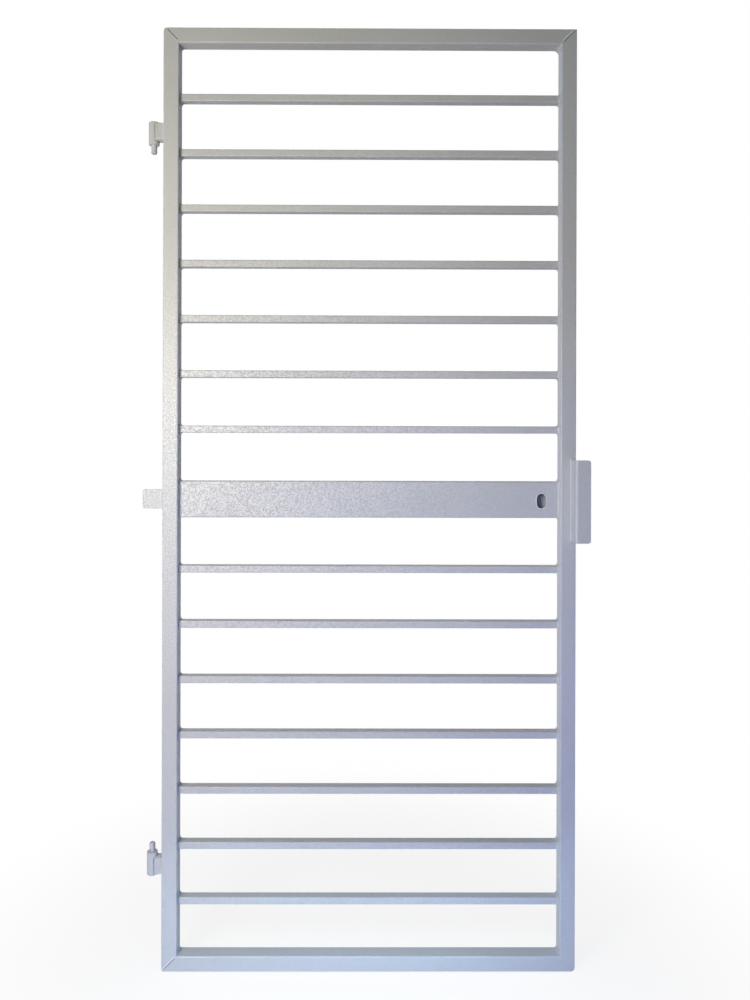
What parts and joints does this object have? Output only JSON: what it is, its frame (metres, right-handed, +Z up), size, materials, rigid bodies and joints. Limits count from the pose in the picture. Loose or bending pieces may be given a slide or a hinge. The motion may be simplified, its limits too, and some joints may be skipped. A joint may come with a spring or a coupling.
{
  "type": "swing gate",
  "caption": "Security gate leaf of welded square tube with level bars, a slotted lock rail, two opposed hinge pins, an edge lug and a lock guard.",
  "frame": {"origin": "on the upper hinge axis, at the flat ring that bears on the wall socket", "axes": "+Z up along the hinge axis, +X from the hinge side to the lock side, +Y through the leaf from its front to its back"},
  "size_m": [0.9185, 0.072, 1.95],
  "materials": {
    "powder_coat": "silver grey powder coat, fine grain, satin"
  },
  "bodies": {
    "root": {"hinge_stile": "powder_coat", "lock_stile": "powder_coat", "top_rail": "powder_coat", "bottom_rail": "powder_coat", "lock_rail": "powder_coat", "upper_bar_1": "powder_coat", "upper_bar_2": "powder_coat", "upper_bar_3": "powder_coat", "upper_bar_4": "powder_coat", "upper_bar_5": "powder_coat", "upper_bar_6": "powder_coat", "upper_bar_7": "powder_coat", "lower_bar_1": "powder_coat", "lower_bar_2": "powder_coat", "lower_bar_3": "powder_coat", "lower_bar_4": "powder_coat", "lower_bar_5": "powder_coat", "lower_bar_6": "powder_coat", "lower_bar_7": "powder_coat", "upper_hinge_plate": "powder_coat", "upper_hinge_barrel": "powder_coat", "upper_hinge_pin": "powder_coat", "lower_hinge_plate": "powder_coat", "lower_hinge_barrel": "powder_coat", "lower_hinge_pin": "powder_coat", "security_lug": "powder_coat", "lock_guard": "powder_coat"}
  },
  "joints": []
}
